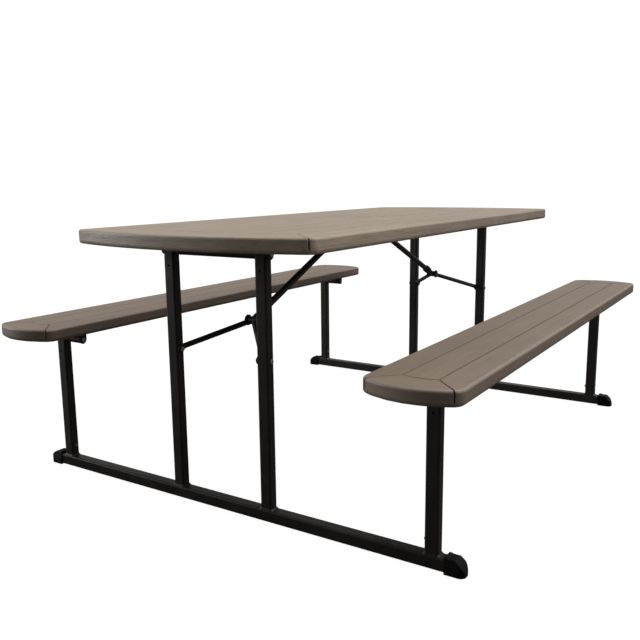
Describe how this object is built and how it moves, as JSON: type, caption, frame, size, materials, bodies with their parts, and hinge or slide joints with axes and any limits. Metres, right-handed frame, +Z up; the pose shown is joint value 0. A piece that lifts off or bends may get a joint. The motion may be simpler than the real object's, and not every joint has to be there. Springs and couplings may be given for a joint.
{
  "type": "folding picnic table",
  "caption": "Folding picnic table with a moulded plank-pattern top and two attached benches on steel W-shaped end frames that fold flat under the top.",
  "frame": {"origin": "on the ground under the middle of the table top", "axes": "+X along the top from its near end to its far end, +Y towards the left bench, +Z up"},
  "size_m": [1.829, 1.43, 0.737],
  "materials": {
    "moulded_plastic": "textured",
    "cap_plastic": "textured",
    "shoe_plastic": "satin",
    "powder_coat": "satin powder coat",
    "bracket_steel": "satin powder coat",
    "ring_steel": "satin powder coat",
    "zinc_fastener": "zinc plated"
  },
  "bodies": {
    "table": {"tabletop": "moulded_plastic", "near_left_table_ear": "bracket_steel", "near_right_table_ear": "bracket_steel", "far_left_table_ear": "bracket_steel", "far_right_table_ear": "bracket_steel", "near_strut_anchor": "bracket_steel", "far_strut_anchor": "bracket_steel", "table_hinge_bolts": "zinc_fastener", "strut_anchor_pins": "zinc_fastener", "table_bracket_screws": "zinc_fastener"},
    "umbrella_cap": {"umbrella_cap": "cap_plastic"},
    "near_frame": {"near_base_rail": "bracket_steel", "near_table_crossbar": "bracket_steel", "near_left_tall_post": "bracket_steel", "near_left_bench_post": "bracket_steel", "near_left_bench_crossbar": "bracket_steel", "near_left_foot_shoe": "shoe_plastic", "near_right_tall_post": "bracket_steel", "near_right_bench_post": "bracket_steel", "near_right_bench_crossbar": "bracket_steel", "near_right_foot_shoe": "shoe_plastic", "near_weld_beads": "bracket_steel", "near_arm_pivot_bolts": "zinc_fastener", "near_post_bolts": "zinc_fastener"},
    "near_wishbone": {"near_left_wishbone_arm": "bracket_steel", "near_right_wishbone_arm": "bracket_steel", "near_hub_rivets": "zinc_fastener"},
    "near_strut": {"near_strut": "bracket_steel"},
    "near_lock_ring": {"near_lock_ring": "ring_steel"},
    "near_saddles": {"near_left_saddle": "bracket_steel", "near_right_saddle": "bracket_steel", "near_saddle_bolts": "zinc_fastener"},
    "far_frame": {"far_base_rail": "powder_coat", "far_table_crossbar": "powder_coat", "far_left_tall_post": "powder_coat", "far_left_bench_post": "powder_coat", "far_left_bench_crossbar": "powder_coat", "far_left_foot_shoe": "shoe_plastic", "far_right_tall_post": "powder_coat", "far_right_bench_post": "powder_coat", "far_right_bench_crossbar": "powder_coat", "far_right_foot_shoe": "shoe_plastic", "far_weld_beads": "powder_coat", "far_arm_pivot_bolts": "zinc_fastener", "far_post_bolts": "zinc_fastener"},
    "far_wishbone": {"far_left_wishbone_arm": "powder_coat", "far_right_wishbone_arm": "powder_coat", "far_hub_rivets": "zinc_fastener"},
    "far_strut": {"far_strut": "powder_coat"},
    "far_lock_ring": {"far_lock_ring": "ring_steel"},
    "far_saddles": {"far_left_saddle": "bracket_steel", "far_right_saddle": "bracket_steel", "far_saddle_bolts": "zinc_fastener"},
    "left_bench": {"left_bench": "moulded_plastic", "left_bench_tracks": "bracket_steel", "left_track_screws": "zinc_fastener"},
    "right_bench": {"right_bench": "moulded_plastic", "right_bench_tracks": "bracket_steel", "right_track_screws": "zinc_fastener"}
  },
  "joints": [
    {"name": "near_frame_fold", "type": "hinge", "parent": "table", "child": "near_frame", "pos_m": [-0.735, 0, 0.683], "axis": [0, -1, 0], "range_deg": [0, 90]},
    {"name": "far_frame_fold", "type": "hinge", "parent": "table", "child": "far_frame", "pos_m": [0.735, 0, 0.683], "axis": [0, 1, 0], "range_deg": [0, 90]},
    {"name": "near_wishbone_pivot", "type": "hinge", "parent": "near_frame", "child": "near_wishbone", "pos_m": [-0.735, 0, 0.42], "axis": [0, -1, 0], "range_deg": [0, 66.04]},
    {"name": "near_strut_pivot", "type": "hinge", "parent": "table", "child": "near_strut", "pos_m": [-0.1435, 0, 0.683], "axis": [0, 1, 0], "range_deg": [0, 23.98]},
    {"name": "near_saddle_hinge", "type": "hinge", "parent": "near_frame", "child": "near_saddles", "pos_m": [-0.735, 0, 0.404], "axis": [0, 1, 0], "range_deg": [0, 90.01]},
    {"name": "near_lock_ring_slide", "type": "slide", "parent": "near_strut", "child": "near_lock_ring", "axis": [0.9137, 0, 0.4063], "range_m": [0, 0.1]},
    {"name": "far_wishbone_pivot", "type": "hinge", "parent": "far_frame", "child": "far_wishbone", "pos_m": [0.735, 0, 0.42], "axis": [0, 1, 0], "range_deg": [0, 66.04]},
    {"name": "far_strut_pivot", "type": "hinge", "parent": "table", "child": "far_strut", "pos_m": [0.1435, 0, 0.683], "axis": [0, -1, 0], "range_deg": [0, 23.98]},
    {"name": "far_saddle_hinge", "type": "hinge", "parent": "far_frame", "child": "far_saddles", "pos_m": [0.735, 0, 0.404], "axis": [0, -1, 0], "range_deg": [0, 90.01]},
    {"name": "far_lock_ring_slide", "type": "slide", "parent": "far_strut", "child": "far_lock_ring", "axis": [-0.9137, 0, 0.4063], "range_m": [0, 0.1]},
    {"name": "left_bench_lift", "type": "slide", "parent": "table", "child": "left_bench", "axis": [0, 0, 1], "range_m": [0, 0.2791]},
    {"name": "right_bench_lift", "type": "slide", "parent": "table", "child": "right_bench", "axis": [0, 0, 1], "range_m": [0, 0.2791]},
    {"name": "umbrella_cap_lift", "type": "slide", "parent": "table", "child": "umbrella_cap", "axis": [0, 0, 1], "range_m": [0, 0.06]}
  ],
  "couplings": [
    {"joint": "far_frame_fold", "follows": "near_frame_fold", "ratio": 1},
    {"joint": "near_wishbone_pivot", "follows": "near_frame_fold", "ratio": 0.73365},
    {"joint": "near_strut_pivot", "follows": "near_frame_fold", "ratio": 0.26635},
    {"joint": "near_saddle_hinge", "follows": "near_frame_fold", "ratio": 1},
    {"joint": "far_wishbone_pivot", "follows": "near_frame_fold", "ratio": 0.73365},
    {"joint": "far_strut_pivot", "follows": "near_frame_fold", "ratio": 0.26635},
    {"joint": "far_saddle_hinge", "follows": "near_frame_fold", "ratio": 1},
    {"joint": "left_bench_lift", "follows": "near_frame_fold", "m_per_rad": 0.17762},
    {"joint": "right_bench_lift", "follows": "near_frame_fold", "m_per_rad": 0.17762}
  ]
}
